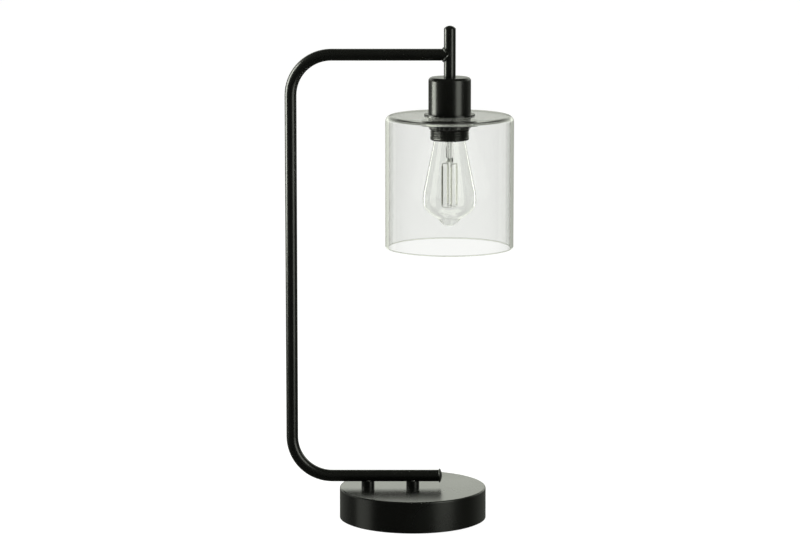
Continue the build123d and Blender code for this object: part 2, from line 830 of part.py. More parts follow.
def bulb_filaments():
    """Four upright filaments."""
    half = filament_corner()
    stick = pillar(FILAMENT_DIAMETER / 2, filament_bottom, filament_top)
    return [
        at_head(Rot(0, 0, FILAMENT_TURN) * Pos(x * half, y * half, 0) * stick)
        for x, y in filament_places()
    ]


def filament_bar(bar_level, ferrule_bottom):
    """Bar across the ends of two filaments, with a ferrule on each end."""
    half = filament_corner()
    bar = swept_rod(Line((half, -half, bar_level), (half, half, bar_level)), LEAD_BAR_DIAMETER / 2)
    ferrule = pillar(FERRULE_DIAMETER / 2, ferrule_bottom, ferrule_bottom + FERRULE_LENGTH)
    return bar + Pos(half, half, 0) * ferrule + Pos(half, -half, 0) * ferrule


def bulb_lead_wires():
    """Two lead wires, each from the driver through the mount to a bar on the tops of two filaments."""
    route = FilletPolyline(
        (LEAD_OFFSET, 0, driver_bottom - SEAT_GAP),
        (LEAD_OFFSET, 0, lead_bend),
        (filament_corner(), 0, lead_bend),
        radius=LEAD_DIAMETER,
    )
    lead = filament_bar(lead_bend, filament_top) + swept_rod(route, LEAD_DIAMETER / 2)
    return [at_head(Rot(0, 0, FILAMENT_TURN + turn) * lead) for turn in (0, 180)]


def bulb_link_wires():
    """Two link bars, each joining the lower ends of two filaments."""
    link = filament_bar(filament_bottom - FERRULE_LENGTH / 2, filament_bottom - FERRULE_LENGTH)
    return [at_head(Rot(0, 0, FILAMENT_TURN + turn) * link) for turn in (90, 270)]


def bulb_driver():
    """Potted driver inside the bulb's cap."""
    return at_head(pillar(DRIVER_DIAMETER / 2, driver_bottom, driver_top))


# Wiring
def wire_path(side):
    """Route from a splice in the base through a stud, the arm, the stem and the nipple to a terminal."""
    lane = side * wire_offset
    spread = side * SPLICE_SPREAD
    terminal = side * TERMINAL_OFFSET
    turn = WIRE_TURN_RADIUS
    fan_top = nipple_bottom - turn
    fan_bottom = (fan_top + tab_top) / 2
    return FilletPolyline(
        (SPLICE_REACH + SPLICE_GRIP, spread, splice_height),
        (SPLICE_REACH - turn, spread, splice_height),
        (2 * turn, lane, splice_height),
        (0, lane, splice_height),
        (0, lane, low_arm),
        (-POST_OFFSET, lane, low_arm),
        (-POST_OFFSET, lane, high_arm),
        (HEAD_OFFSET, lane, high_arm),
        (HEAD_OFFSET, lane, fan_top),
        (HEAD_OFFSET, terminal, fan_bottom),
        (HEAD_OFFSET, terminal, tab_top + SEAT_GAP),
        radius=[turn, turn, turn, turn, BEND_RADIUS, BEND_RADIUS, turn, WIRE_DIAMETER, WIRE_DIAMETER],
    )


def mains_wire(side):
    """Insulated wire, live on one side and neutral on the other."""
    return swept_rod(wire_path(side), wire_radius)


def wire_splice(side):
    """Closed-end crimp cap on a wire's end."""
    bore = wire_radius + SEAT_GAP
    splice = domed(
        [
            (0, SPLICE_GRIP + SEAT_GAP),
            (bore, SPLICE_GRIP + SEAT_GAP),
            (bore, 0),
            (splice_radius, 0),
        ],
        splice_radius,
        SPLICE_LENGTH - splice_radius,
        splice_radius,
    )
    return Pos(SPLICE_REACH, side * SPLICE_SPREAD, splice_height) * Rot(0, 90, 0) * splice


os.makedirs("parts", exist_ok=True)

save("base_shell", base_shell())
save("base_weight", base_weight())
save("base_pad", pillar(shell_inner_radius - PAD_EDGE_GAP, 0, PAD_THICKNESS))
save("cord_bushing", cord_bushing())
save("standoff_right", Pos(stud_places[0], 0, 0) * standoff())
save("standoff_left", Pos(stud_places[1], 0, 0) * standoff())
save("arm_studs", *at_studs(sleeve(stud_radius, passage_radius, stud_bottom, stud_top)))
save(
    "stud_washers",
    *at_studs(sleeve(STUD_WASHER_DIAMETER / 2, stud_hole_radius, stud_washer_bottom, web_bottom)),
)
save(
    "stud_nuts",
    *at_studs(hex_nut(STUD_NUT_FLATS, stud_radius + SEAT_GAP, stud_nut_bottom, stud_washer_bottom)),
)

save("arm_tube", arm_tube())
save("arm_end_plug", arm_end_plug())
save("stem_tube", stem_tube())
save("stem_finial", stem_finial())
save("stem_nipple", at_head(sleeve(nipple_radius, passage_radius, nipple_bottom, cup_top + NIPPLE_IN_STEM)))
save("socket_cup", socket_cup())
save("cup_lock_washer", cup_lock_washer())
save("cup_nut", at_head(hex_nut(CUP_NUT_FLATS, nipple_radius + SEAT_GAP, holder_top, lock_washer_bottom)))

save("lampholder_cap", lampholder_cap())
save("lampholder_body", lampholder_body())
save("screw_shell", screw_shell())
save("centre_contact", centre_contact())
save("terminal_block", terminal_block())
save("terminal_tabs", *[place * terminal_tab() for place in terminal_places()])
save("terminal_screws", *[place * terminal_screw() for place in terminal_places()])

save("shade_washer", shade_washer())
save("glass_shade", glass_shade())
save("shade_gasket", shade_gasket())
save("shade_ring", shade_ring())

save("bulb_envelope", bulb_envelope())
save("bulb_screw_cap", bulb_screw_cap())
save("bulb_insulator", bulb_insulator())
save("bulb_tip_contact", bulb_tip_contact())
save("bulb_glass_mount", bulb_glass_mount())
save("bulb_lead_wires", *bulb_lead_wires())
save("bulb_filaments", *bulb_filaments())
save("bulb_link_wires", *bulb_link_wires())
save("bulb_driver", bulb_driver())

save("live_wire", mains_wire(1))
save("neutral_wire", mains_wire(-1))
save("wire_splices", wire_splice(1), wire_splice(-1))
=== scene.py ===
import json
import math

import bmesh
import bpy
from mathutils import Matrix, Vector


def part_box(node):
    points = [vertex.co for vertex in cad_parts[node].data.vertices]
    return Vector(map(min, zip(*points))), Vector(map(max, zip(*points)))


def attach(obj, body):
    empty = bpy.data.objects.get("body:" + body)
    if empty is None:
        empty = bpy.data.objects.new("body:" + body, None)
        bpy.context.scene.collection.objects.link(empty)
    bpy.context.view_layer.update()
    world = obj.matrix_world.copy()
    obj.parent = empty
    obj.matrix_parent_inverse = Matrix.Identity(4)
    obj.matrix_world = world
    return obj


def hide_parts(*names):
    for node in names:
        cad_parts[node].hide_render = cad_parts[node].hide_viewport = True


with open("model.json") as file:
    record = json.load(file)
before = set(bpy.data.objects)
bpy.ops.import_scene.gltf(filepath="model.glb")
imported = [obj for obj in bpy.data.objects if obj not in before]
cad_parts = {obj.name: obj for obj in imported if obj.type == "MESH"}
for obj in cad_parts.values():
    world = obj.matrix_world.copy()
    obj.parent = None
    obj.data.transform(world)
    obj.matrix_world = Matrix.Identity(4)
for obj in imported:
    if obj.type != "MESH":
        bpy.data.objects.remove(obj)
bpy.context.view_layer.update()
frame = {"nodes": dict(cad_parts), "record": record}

# Dressed table lamp: bent arm, weighted base, clear glass shade and filament bulb.
# Metres, in the frame's own axes: +Z up, +X towards the lamp head, +Y to the back.

MM = 0.001

# Fineness of the meshes
SEGMENTS = 160
FINE_SEGMENTS = 32
ARC_STEPS = 8
THREAD_STEPS = 14
EDGE_HOLD = 0.12 * MM
SMOOTH_ANGLE = math.radians(32)
CONE_STEPS = 12
SHOULDER_STEPS = 10
CROWN_STEPS = 36
CHIP_STEPS = 6
WIRE_SIDES = 12
TANGENT_REACH = 2
STAGE_SEGMENTS = 96

# Camera, from the photograph's perspective
CAMERA_PLACE = Vector((-0.0131, -3.2585, 0.7689))
CAMERA_AIM = Vector((-0.0131, 0.0, 0.247))
CAMERA_LENS = 145.96
CAMERA_SENSOR = 36.0
CAMERA_REACH = 100.0

# Studio, where a pair is a range of the Y or Z part of a direction, from -1 to 1
FLOOR_RADIUS = 14.0
FLOOR_DARK = (0.11, 0.11, 0.11)
FLOOR_LIGHT = (0.13, 0.13, 0.13)
FLOOR_ROUGHNESS = 0.9
FLOOR_PATCHES = 3.0
FLOOR_GLOW = 0.95
BACKDROP_INSET = 0.1
BACKDROP_HEIGHT = 6.0
ROOM_LOW = 0.02
ROOM_HIGH = 0.09
ROOM_RISE = (-0.3, 0.3)
WALL_GLOW = 1.1
WALL_FOOT = 0.13
WALL_SIDES = (0.1, 0.7)
WALL_RISE = (0.04, 0.19)
WALL_END = (0.35, 0.7)
LIGHT_TINT = (0.965, 1.0, 0.89)

# Finishes
PATTERN_LOW = 0.3
PATTERN_HIGH = 0.7
COLOUR_PATCH = 12
ROUGHNESS_PATCH = 40
RELIEF_STRENGTH = 0.2
BLACK_TINT = (1.0, 1.08, 0.85)
BLACK_SPREAD = 1.4
ORANGE_PEEL = 0.02 * MM
GLASS_IOR = 1.5
GLASS_BLUR = 0.006
GLASS_WAVE_STRENGTH = 0.04
PHOSPHOR_ROUGHNESS = 0.55
PHOSPHOR_GRAIN = 2200
PHOSPHOR_RELIEF = 0.05 * MM

# Glass shade
SHADE_TOP = 3.0 * MM
SHADE_WALL_TOP = 3.2 * MM
SHADE_WALL_RIM = 3.0 * MM
SHADE_SHOULDER = 6.2 * MM
SHADE_INNER_ROUND = 3.2 * MM
SHADE_RIM_ROUND = 1.3 * MM
SHADE_HOLE = 20.65 * MM
SHADE_HOLE_ROUND = 0.6 * MM

# Lampholder body
SKIRT_LAND = 1.8 * MM
SKIRT_EDGE = 2.0 * MM
SKIRT_LIP = 0.5 * MM
SKIRT_PITCH = 2.5 * MM
SKIRT_THREAD = 1.2 * MM
MOUTH_RADIUS = 17.05 * MM
MOUTH_DEPTH = 6.0 * MM
HOLDER_BORE = 14.2 * MM
SPIGOT_RADIUS = 17.15 * MM
SPIGOT_HEIGHT = 4.0 * MM
BLOCK_SEAT_RADIUS = 15.55 * MM
BLOCK_SEAT_DEPTH = 8.0 * MM

# Bulb
BULB_WALL = 0.5 * MM
BULB_DOME = 19.3 * MM
BULB_BEND = 60.0 * MM
BULB_CONE = math.radians(11.5)
BULB_NECK = 12.6 * MM
BULB_NECK_ROUND = 1.4 * MM
BULB_SEAT = 0.05 * MM
PIP_LENGTH = 7.0 * MM
PIP_ROOT = 14.0 * MM
PIP_WAIST = 12.0 * MM
PIP_WAIST_RISE = 8.3 * MM
PIP_END = 5.4 * MM
PIP_ROLL = 0.8 * MM
PIP_FILLET = 5.0 * MM
PIP_EDGE = 3.0 * MM
CAP_SHEET = 0.4 * MM
CAP_TAPER = 2.4 * MM
CAP_HOLE = 11.0 * MM
CAP_PITCH = 3.629 * MM
CAP_THREAD = 0.7 * MM
CAP_SKIRT = 5.8 * MM
MOUNT_TUBE = 4.0 * MM
MOUNT_WALL = 1.0 * MM
MOUNT_FLARE = 9.0 * MM
MOUNT_PRESS = 4.0 * MM
MOUNT_PINCH = 0.42
MOUNT_END_ROUND = 0.8 * MM
MOUNT_FLARE_ROUND = 3.0 * MM
MOUNT_LIP_ROUND = 0.4 * MM
MOUNT_BORE_ROUND = 1.2 * MM
FILAMENT_COUNT = 4
FILAMENT_CIRCLE = 7.5 * MM
FILAMENT_RADIUS = 0.9 * MM
FILAMENT_FIRST = math.radians(12)
FILAMENT_CHIP = 1.5 * MM
FILAMENT_BEAD = 0.03
FILAMENT_DROP = 1.6 * MM
FERRULE_RADIUS = 1.0 * MM
FERRULE_OVERLAP = 0.6 * MM
FERRULE_LENGTH = 0.8 * MM
LINK_DEPTH = 2.2 * MM
LINK_BEND = 0.8 * MM
LINK_RADIUS = 0.35 * MM

# Places taken from the frame
glass_low, glass_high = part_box("glass_shade")
holder_low, holder_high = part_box("lampholder_body")
ring_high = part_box("shade_ring")[1]
bulb_low, bulb_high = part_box("bulb_envelope")
cap_low, cap_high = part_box("bulb_screw_cap")
mount_low, mount_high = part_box("bulb_glass_mount")
filament_low, filament_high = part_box("bulb_filaments")
head = Vector(((glass_low.x + glass_high.x) / 2, 0.0, 0.0))


def half_width(low, high):
    """Half of a box's width along X."""
    return (high.x - low.x) / 2


# Mesh helpers
def rounded(corners, closed=False):
    """Outline whose corners, given as (radius, height, rounding), are arcs that run into flat sides."""
    points = []
    last = len(corners) - 1
    for index, (radius, height, rounding) in enumerate(corners):
        here = Vector((radius, height))
        if rounding == 0 or (not closed and index in (0, last)):
            points.append(here)
            continue
        before = (Vector(corners[index - 1][:2]) - here).normalized()
        after = (Vector(corners[(index + 1) % len(corners)][:2]) - here).normalized()
        half = before.angle(after) / 2
        reach = rounding / math.tan(half)
        centre = here + (before + after).normalized() * rounding / math.sin(half)
        start = (here + before * reach - centre).normalized()
        end = (here + after * reach - centre).normalized()
        points.append(here + before * (reach + EDGE_HOLD))
        points += [centre + rounding * start.slerp(end, step / ARC_STEPS) for step in range(ARC_STEPS + 1)]
        points.append(here + after * (reach + EDGE_HOLD))
    return points


def ellipse_arc(centre, wide, tall, start, end, steps):
    """Points of an ellipse's arc in the (radius, height) plane, with angles in radians."""
    points = []
    for step in range(steps + 1):
        angle = start + (end - start) * step / steps
        points.append(Vector((centre[0] + wide * math.cos(angle), centre[1] + tall * math.sin(angle))))
    return points


def straight(start, end, steps):
    """Points inside the straight line from one point to another."""
    return [start.lerp(end, step / steps) for step in range(1, steps)]


def to_object(name, mesh):
    """Turn a bmesh into a smooth object with crisp corners."""
    bmesh.ops.recalc_face_normals(mesh, faces=mesh.faces)
    data = bpy.data.meshes.new(name)
    mesh.to_mesh(data)
    mesh.free()
    data.shade_smooth()
    data.set_sharp_from_angle(angle=SMOOTH_ANGLE)
    piece = bpy.data.objects.new(name, data)
    bpy.context.scene.collection.objects.link(piece)
    return piece


def skin(mesh, rings, closed):
    """Join neighbouring rings of points by faces, where a ring of one point is a pole."""
    pairs = list(zip(rings, rings[1:]))
    if closed:
        pairs.append((rings[-1], rings[0]))
    for lower, upper in pairs:
        count = max(len(lower), len(upper))
        for i in range(count):
            j = (i + 1) % count
            corners = [
                lower[i % len(lower)],
                lower[j % len(lower)],
                upper[j % len(upper)],
                upper[i % len(upper)],
            ]
            mesh.faces.new(list(dict.fromkeys(corners)))


def plain(radius, height, angle):
    """Rule of a round turned form: its radius is the outline's."""
    return radius


def lathe(name, outlines, closed, places=(head,), rule=plain, segments=SEGMENTS):
    """Revolve outlines of (radius, height) points about upright axes, with a rule for the local radius."""
    mesh = bmesh.new()
    for place in places:
        for outline in outlines:
            rings = []
            for radius, height in outline:
                turns = [2 * math.pi * i / segments for i in range(segments if radius > 0 else 1)]
                radii = [rule(radius, height, turn) for turn in turns]
                spots = [Vector((r * math.cos(t), r * math.sin(t), height)) for r, t in zip(radii, turns)]
                rings.append([mesh.verts.new(place + spot) for spot in spots])
            skin(mesh, rings, closed)
    return to_object(name, mesh)


def threaded(least, depth, pitch, bottom, top):
    """Rule that cuts a rounded right-hand thread into radii above a least one, between two heights."""

    def rule(radius, height, angle):
        if radius < least or not bottom < height < top:
            return radius
        fade = min(1.0, (height - bottom) / pitch, (top - height) / pitch)
        groove = 0.5 - 0.5 * math.cos(2 * math.pi * height / pitch - angle)
        return radius - depth * fade * groove**2

    return rule


def dress(piece, body, slot, *nodes):
    """Give a piece its slot's material, its body and the nodes that it stands for."""
    piece.data.materials.append(materials[slot])
    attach(piece, body)
    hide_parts(*nodes)
    return piece


# Material helpers
def shader_of(material):
    """The material's surface shader."""
    return material.node_tree.nodes["Principled BSDF"]


def new_material(name, roughness, metallic=0.0):
    """Material with a plain surface shader, to which patterns are added."""
    material = bpy.data.materials.new(name)
    material.use_nodes = True
    shader = shader_of(material)
    shader.inputs["Roughness"].default_value = roughness
    shader.inputs["Metallic"].default_value = metallic
    return material


def noise(material, scale, detail=3.0, stretch=(1.0, 1.0, 1.0)):
    """Noise that sticks to the piece, with cells of about 1 / scale metres."""
    nodes = material.node_tree.nodes
    links = material.node_tree.links
    coordinates = nodes.new("ShaderNodeTexCoord")
    mapping = nodes.new("ShaderNodeMapping")
    mapping.inputs["Scale"].default_value = stretch
    texture = nodes.new("ShaderNodeTexNoise")
    texture.inputs["Scale"].default_value = scale
    texture.inputs["Detail"].default_value = detail
    links.new(coordinates.outputs["Object"], mapping.inputs["Vector"])
    links.new(mapping.outputs["Vector"], texture.inputs["Vector"])
    return texture.outputs["Fac"]


def vary_colour(material, pattern, dark, light):
    """Let the colour run between two shades with a pattern."""
    nodes = material.node_tree.nodes
    ramp = nodes.new("ShaderNodeValToRGB")
    ramp.color_ramp.elements[0].position = PATTERN_LOW
    ramp.color_ramp.elements[1].position = PATTERN_HIGH
    ramp.color_ramp.elements[0].color = (*dark, 1.0)
    ramp.color_ramp.elements[1].color = (*light, 1.0)
    material.node_tree.links.new(pattern, ramp.inputs["Fac"])
    material.node_tree.links.new(ramp.outputs["Color"], shader_of(material).inputs["Base Color"])


def vary_roughness(material, pattern, low, high):
    """Let the roughness run between two values with a pattern."""
    spread = material.node_tree.nodes.new("ShaderNodeMapRange")
    spread.inputs["From Min"].default_value = PATTERN_LOW
    spread.inputs["From Max"].default_value = PATTERN_HIGH
    spread.inputs["To Min"].default_value = low
    spread.inputs["To Max"].default_value = high
    material.node_tree.links.new(pattern, spread.inputs["Value"])
    material.node_tree.links.new(spread.outputs["Result"], shader_of(material).inputs["Roughness"])


def emboss(material, pattern, depth, strength):
    """Raise the surface a little with a pattern."""
    bump = material.node_tree.nodes.new("ShaderNodeBump")
    bump.inputs["Strength"].default_value = strength
    bump.inputs["Distance"].default_value = depth
    material.node_tree.links.new(pattern, bump.inputs["Height"])
    material.node_tree.links.new(bump.outputs["Normal"], shader_of(material).inputs["Normal"])


def coated(name, dark, light, rough, grain, depth, strength=RELIEF_STRENGTH, metallic=0.0):
    """Opaque finish whose colour and roughness vary slightly over a fine grain."""
    material = new_material(name, rough[0], metallic)
    vary_colour(material, noise(material, grain / COLOUR_PATCH), dark, light)
    vary_roughness(material, noise(material, grain / ROUGHNESS_PATCH), *rough)
    emboss(material, noise(material, grain), depth, strength)
    return material


def black_coat(name, shade, rough, grain):
    """Near-black finish with a very soft orange peel."""
    dark = tuple(shade * part for part in BLACK_TINT)
    light = tuple(BLACK_SPREAD * part for part in dark)
    return coated(name, dark, light, rough, grain, ORANGE_PEEL)


def clear_glass(name, colour, waves, depth, stretch):
    """Clear glass with faint waves in its surface."""
    material = new_material(name, 0.0)
    shader = shader_of(material)
    shader.inputs["Base Color"].default_value = (*colour, 1.0)
    shader.inputs["Transmission Weight"].default_value = 1.0
    shader.inputs["IOR"].default_value = GLASS_IOR
    pattern = noise(material, waves, detail=1.0, stretch=stretch)
    vary_roughness(material, pattern, 0.0, GLASS_BLUR)
    emboss(material, pattern, depth, GLASS_WAVE_STRENGTH)
    return material


def phosphor_painted_shade(name, dark, light):
    """Coating with painted shade: dark on the bulb's left and pale on the rest, set by position in the
    piece.
    """
    material = new_material(name, PHOSPHOR_ROUGHNESS)
    nodes = material.node_tree.nodes
    links = material.node_tree.links
    coordinates = nodes.new("ShaderNodeTexCoord")
    parts = nodes.new("ShaderNodeSeparateXYZ")
    # Painted shade: the colour runs from dark at the bulb's left to pale at its middle, by position along
    # X.
    spread = nodes.new("ShaderNodeMapRange")
    spread.inputs["From Min"].default_value = head.x - FILAMENT_CIRCLE
    spread.inputs["From Max"].default_value = head.x
    links.new(coordinates.outputs["Object"], parts.inputs["Vector"])
    links.new(parts.outputs["X"], spread.inputs["Value"])
    vary_colour(material, spread.outputs["Result"], dark, light)
    emboss(material, noise(material, PHOSPHOR_GRAIN), PHOSPHOR_RELIEF, RELIEF_STRENGTH)
    return material


# Materials, one for each of the record's slots
materials = {
    "black_metal": black_coat("satin_black_coat", 0.0028, (0.255, 0.285), 500),
    "black_plastic": black_coat("black_moulding", 0.003, (0.26, 0.3), 500),
    "holder_plastic": black_coat("black_phenolic", 0.002, (0.23, 0.27), 500),
    "cast_weight": coated(
        "grey_casting", (0.07, 0.07, 0.068), (0.13, 0.128, 0.122), (0.7, 0.9), 700, 0.4 * MM, 0.6
    ),
    "foot_rubber": coated(
        "foam_foot", (0.016, 0.016, 0.016), (0.03, 0.03, 0.03), (0.85, 0.97), 1500, 0.15 * MM, 0.6
    ),
    "zinc_steel": coated(
        "zinc_plate", (0.5, 0.5, 0.48), (0.66, 0.66, 0.63), (0.26, 0.42), 900, 0.02 * MM, metallic=1.0
    ),
    "terminal_ceramic": coated(
        "white_ceramic", (0.74, 0.73, 0.69), (0.84, 0.83, 0.79), (0.4, 0.6), 900, 0.05 * MM
    ),
    "brass": coated(
        "stamped_brass", (0.62, 0.44, 0.19), (0.76, 0.58, 0.28), (0.24, 0.4), 700, 0.02 * MM, metallic=1.0
    ),
    "shade_glass": clear_glass("drum_glass", (0.958, 0.963, 0.952), 28, 0.3 * MM, (1.0, 1.0, 0.12)),
    "gasket_silicone": coated(
        "milky_silicone", (0.62, 0.63, 0.6), (0.7, 0.71, 0.68), (0.4, 0.55), 900, 0.03 * MM
    ),
    "bulb_glass": clear_glass("bulb_glass", (0.955, 0.96, 0.95), 60, 0.15 * MM, (1.0, 1.0, 0.3)),
    "bulb_cap_metal": coated(
        "nickel_plate", (0.5, 0.5, 0.49), (0.66, 0.66, 0.64), (0.2, 0.34), 900, 0.02 * MM, metallic=1.0
    ),
    "bulb_insulation": coated(
        "black_insulation", (0.006, 0.006, 0.007), (0.014, 0.014, 0.016), (0.16, 0.3), 700, 0.03 * MM
    ),
    # Filament coating with painted shade on the bulb's left.
    "filament_coating": phosphor_painted_shade("phosphor_coat_painted_shade", (0.2, 0.2, 0.18), (0.66, 0.66, 0.61)),
    "wire_black": coated(
        "black_insulated", (0.01, 0.01, 0.01), (0.02, 0.02, 0.02), (0.4, 0.55), 1500, 0.03 * MM
    ),
    "wire_white": coated(
        "white_insulated", (0.66, 0.66, 0.63), (0.78, 0.78, 0.75), (0.4, 0.55), 1500, 0.03 * MM
    ),
    "splice_plastic": coated(
        "pale_nylon", (0.6, 0.6, 0.55), (0.74, 0.74, 0.69), (0.4, 0.55), 1200, 0.04 * MM
    ),
}
for subpart in frame["record"]["subparts"]:
    node = frame["nodes"][subpart["node"]]
    node.data.materials.clear()
    node.data.materials.append(materials[subpart["material_slot"]])


# Glass shade
def glass_shade():
    """Clear drum with a drafted inside, soft shoulders and a fire-polished rim."""
    radius = half_width(glass_low, glass_high)
    ceiling = glass_high.z - SHADE_TOP
    outline = rounded(
        [
            (SHADE_HOLE, glass_high.z, SHADE_HOLE_ROUND),
            (radius, glass_high.z, SHADE_SHOULDER),
            (radius, glass_low.z, SHADE_RIM_ROUND),
            (radius - SHADE_WALL_RIM, glass_low.z, SHADE_RIM_ROUND),
            (radius - SHADE_WALL_TOP, ceiling, SHADE_INNER_ROUND),
            (SHADE_HOLE, ceiling, SHADE_HOLE_ROUND),
        ],
        closed=True,
    )
    return lathe("shade_glass_drum", [outline], closed=True)


# Lampholder
def lampholder_body():
    """Holder body whose skirt has a rounded thread above a plain, soft-edged land."""
    skirt = half_width(holder_low, holder_high)
    joint = holder_high.z - SPIGOT_HEIGHT
    seat = holder_high.z - BLOCK_SEAT_DEPTH
    thread_bottom = holder_low.z + SKIRT_LAND
    thread_top = ring_high.z
    mouth_top = holder_low.z + MOUTH_DEPTH
    steps = round((thread_top - thread_bottom) / SKIRT_PITCH * THREAD_STEPS)
    upper = [
        Vector((BLOCK_SEAT_RADIUS, seat)),
        Vector((BLOCK_SEAT_RADIUS, holder_high.z)),
        Vector((SPIGOT_RADIUS, holder_high.z)),
        Vector((SPIGOT_RADIUS, joint)),
        Vector((skirt, joint)),
        Vector((skirt, thread_top)),
    ]
    thread = straight(Vector((skirt, thread_top)), Vector((skirt, thread_bottom)), steps)
    mouth = rounded(
        [
            (skirt, thread_bottom, 0),
            (skirt, holder_low.z, SKIRT_EDGE),
            (MOUTH_RADIUS, holder_low.z, SKIRT_LIP),
            (MOUTH_RADIUS, mouth_top, 0),
            (HOLDER_BORE, mouth_top, 0),
            (HOLDER_BORE, seat, 0),
        ]
    )
    rule = threaded(skirt - SKIRT_LIP, SKIRT_THREAD, SKIRT_PITCH, thread_bottom, thread_top)
    return lathe("lampholder_threaded_body", [upper + thread + mouth], closed=True, rule=rule)


# Bulb
def bulb_side(inset):
    """Outline of the bulb from its neck to the pip under its crown, set in from the outside."""
    belly = half_width(bulb_low, bulb_high) - inset
    bend = BULB_BEND - inset
    dome = BULB_DOME - inset
    neck = BULB_NECK - inset
    step = cap_low.z - BULB_SEAT - inset
    belly_height = bulb_low.z + PIP_LENGTH + BULB_DOME
    foot = Vector((belly - bend * (1 - math.cos(BULB_CONE)), belly_height + bend * math.sin(BULB_CONE)))
    cone_top = foot.x - (step - foot.y) * math.tan(BULB_CONE)
    side = rounded(
        [
            (neck, bulb_high.z, 0),
            (neck, step, BULB_SEAT),
            (cone_top, step, BULB_NECK_ROUND),
            (*foot, 0),
        ]
    )
    cone = straight(side[-2], foot, CONE_STEPS)
    shoulder = ellipse_arc((belly - bend, belly_height), bend, bend, BULB_CONE, 0, SHOULDER_STEPS)
    crown = ellipse_arc((0, belly_height), belly, dome, 0, -math.pi / 2, CROWN_STEPS)
    dome_points = [point for point in crown[1:] if point.x > PIP_ROOT]
    pip = rounded(
        [
            (*dome_points[-1], 0),
            (PIP_WAIST - inset, bulb_low.z + PIP_WAIST_RISE, PIP_FILLET),
            (PIP_END - inset, bulb_low.z + PIP_ROLL + inset, PIP_EDGE),
            (0, bulb_low.z + inset, 0),
        ]
    )
    return side[:-1] + cone + shoulder + dome_points + pip[1:]


def bulb_envelope():
    """Thin blown bulb, closed at its crown by a wide drawn pip."""
    return lathe("bulb_glass_envelope", [bulb_side(BULB_WALL)[::-1] + bulb_side(0.0)], closed=False)


def bulb_cap():
    """Thin metal cap with a plain skirt and a rolled thread."""
    radius = half_width(cap_low, cap_high)
    taper = cap_high.z - CAP_TAPER
    start = cap_low.z + CAP_SKIRT
    steps = round((taper - start) / CAP_PITCH * THREAD_STEPS)
    outside = [Vector((radius, cap_low.z)), Vector((radius, start))]
    outside += straight(Vector((radius, start)), Vector((radius, taper)), steps)
    outside += [Vector((radius, taper)), Vector((CAP_HOLE + CAP_SHEET, cap_high.z))]
    inside = [Vector((point.x - CAP_SHEET, point.y)) for point in outside]
    rule = threaded(radius - 2 * CAP_SHEET, CAP_THREAD, CAP_PITCH, start, taper)
    return lathe("bulb_threaded_cap", [outside + inside[::-1]], closed=True, rule=rule)


def bulb_mount():
    """Glass tube that flares out to the bulb's neck and is pinched shut round the lead wires."""
    flare = half_width(mount_low, mount_high)
    press = mount_low.z + MOUNT_PRESS
    flare_foot = mount_high.z - MOUNT_FLARE
    bore = MOUNT_TUBE - MOUNT_WALL
    outline = rounded(
        [
            (0, mount_low.z, 0),
            (MOUNT_TUBE, mount_low.z, MOUNT_END_ROUND),
            (MOUNT_TUBE, flare_foot, MOUNT_FLARE_ROUND),
            (flare, mount_high.z, MOUNT_LIP_ROUND),
            (flare - MOUNT_WALL, mount_high.z, MOUNT_LIP_ROUND),
            (bore, flare_foot, MOUNT_FLARE_ROUND),
            (bore, press, MOUNT_BORE_ROUND),
            (0, press, 0),
        ]
    )

    def pinched(radius, height, angle):
        nearness = (press + MOUNT_PRESS - height) / (2 * MOUNT_PRESS)
        pinch = MOUNT_PINCH * min(1.0, max(0.0, nearness))
        return radius * (1 - pinch * math.sin(angle - FILAMENT_FIRST + math.pi / FILAMENT_COUNT) ** 2)

    return lathe("bulb_pressed_mount", [outline], closed=False, rule=pinched, segments=2 * FINE_SEGMENTS)


filament_turns = [FILAMENT_FIRST + 2 * math.pi / FILAMENT_COUNT * turn for turn in range(FILAMENT_COUNT)]
filament_places = [
    head + FILAMENT_CIRCLE * Vector((math.cos(turn), math.sin(turn), 0)) for turn in filament_turns
]
filament_foot = filament_low.z - FILAMENT_DROP


def filaments():
    """Four upright filaments with soft ends, whose chips show as faint beads in the coating."""
    low = filament_foot
    high = filament_high.z
    ends = rounded(
        [
            (0, low, 0),
            (FILAMENT_RADIUS, low, FILAMENT_RADIUS / 2),
            (FILAMENT_RADIUS, high, FILAMENT_RADIUS / 2),
            (0, high, 0),
        ]
    )
    half = len(ends) // 2
    side = straight(ends[half - 1], ends[half], round((high - low) / FILAMENT_CHIP) * CHIP_STEPS)

    def beaded(radius, height, angle):
        wave = math.cos(2 * math.pi * height / FILAMENT_CHIP)
        return radius * (1 - FILAMENT_BEAD + FILAMENT_BEAD * wave)

    outline = ends[:half] + side + ends[half:]
    return lathe("bulb_filament_sticks", [outline], False, filament_places, beaded, FINE_SEGMENTS)


